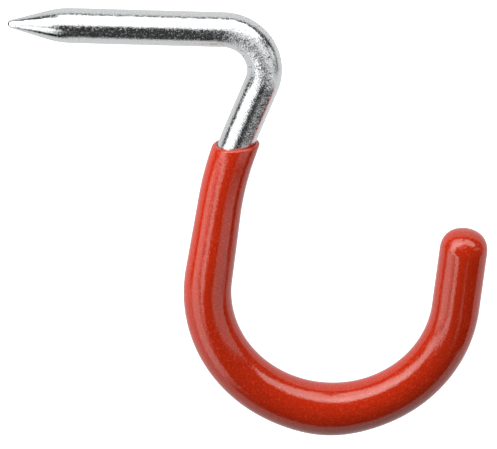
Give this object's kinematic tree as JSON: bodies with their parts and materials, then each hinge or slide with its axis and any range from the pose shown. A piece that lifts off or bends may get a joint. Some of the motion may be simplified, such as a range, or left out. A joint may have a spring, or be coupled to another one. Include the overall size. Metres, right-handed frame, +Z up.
{
  "type": "utility hook",
  "caption": "Drive-in utility hook: a bent plated steel rod with a pointed spike for a stud, its open U-shaped end dipped in glossy red vinyl, for hanging tools, hoses and cords.",
  "frame": {"origin": "where the spike's axis meets the stud's face, which is the plane that the back of the sleeve bears on when the hook is driven home", "axes": "+X away from the stud along the spike's axis, +Z up, and Y across the hook, which is flat in the XZ plane"},
  "size_m": [0.1095, 0.0122, 0.1012],
  "materials": {
    "plated_steel": "satin",
    "red_vinyl": "gloss"
  },
  "bodies": {
    "root": {"steel_rod": "plated_steel", "vinyl_sleeve": "red_vinyl"}
  },
  "joints": []
}
